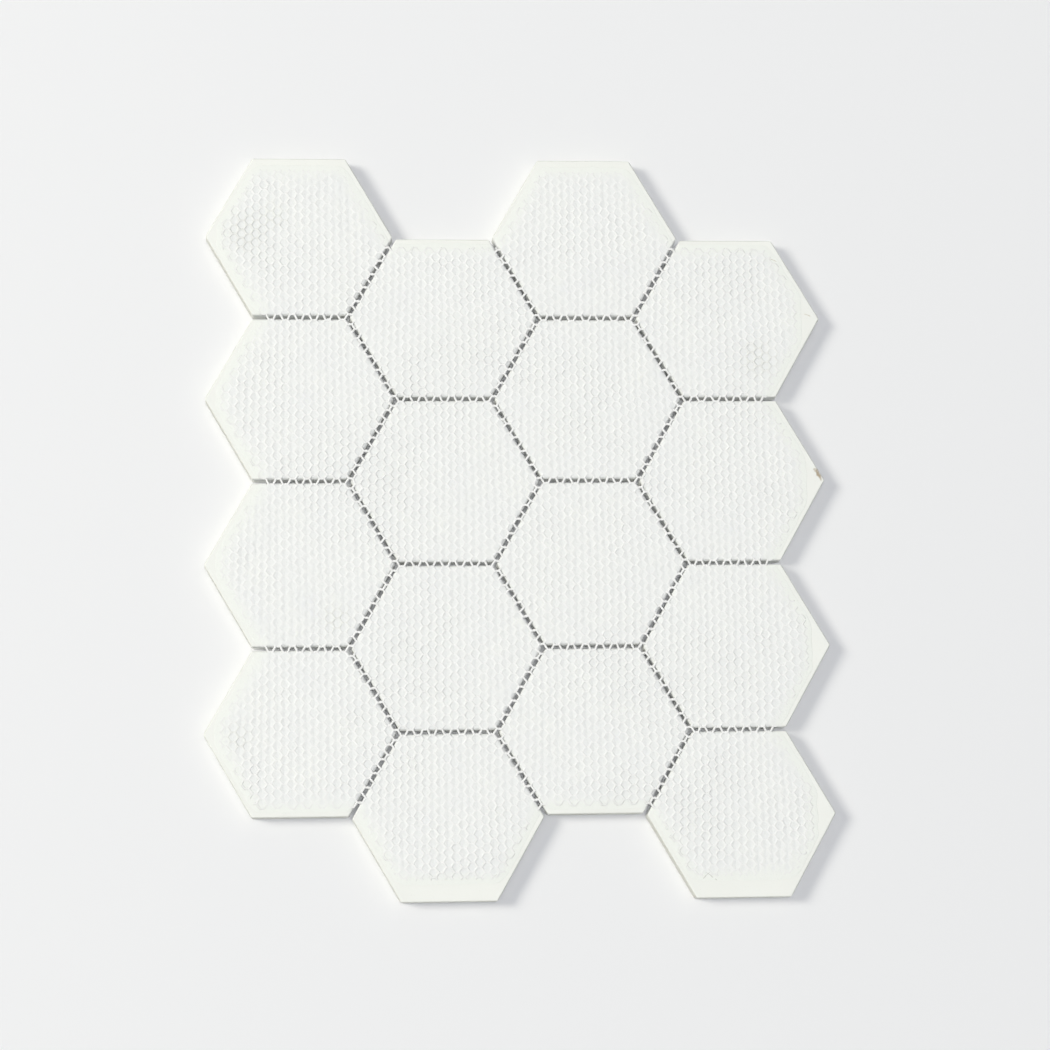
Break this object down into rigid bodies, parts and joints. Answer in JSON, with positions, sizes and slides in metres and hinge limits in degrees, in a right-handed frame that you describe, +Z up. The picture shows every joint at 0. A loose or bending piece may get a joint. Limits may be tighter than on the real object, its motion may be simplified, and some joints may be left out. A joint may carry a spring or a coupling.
{
  "type": "mesh-mounted hexagon mosaic tile sheet",
  "caption": "Sheet of flat hexagon porcelain floor tiles in staggered columns, joined by a knitted net glued to their backs, lying face down with the net up.",
  "frame": {"origin": "middle of the sheet on the surface that it lies on", "axes": "+X across the columns of tiles, +Y along the columns, +Z up from the glazed faces to the net on the backs"},
  "size_m": [0.2486, 0.2992, 0.0075],
  "materials": {
    "porcelain": "unglazed fired back and sides, matte",
    "net": "white warp-knit net set in white glue, matte"
  },
  "bodies": {
    "root": {"tile_column1_row1": "porcelain", "tile_column1_row2": "porcelain", "tile_column1_row3": "porcelain", "tile_column1_row4": "porcelain", "tile_column2_row1": "porcelain", "tile_column2_row2": "porcelain", "tile_column2_row3": "porcelain", "tile_column2_row4": "porcelain", "tile_column3_row1": "porcelain", "tile_column3_row2": "porcelain", "tile_column3_row3": "porcelain", "tile_column3_row4": "porcelain", "tile_column4_row1": "porcelain", "tile_column4_row2": "porcelain", "tile_column4_row3": "porcelain", "tile_column4_row4": "porcelain", "backing_net": "net"}
  },
  "joints": []
}
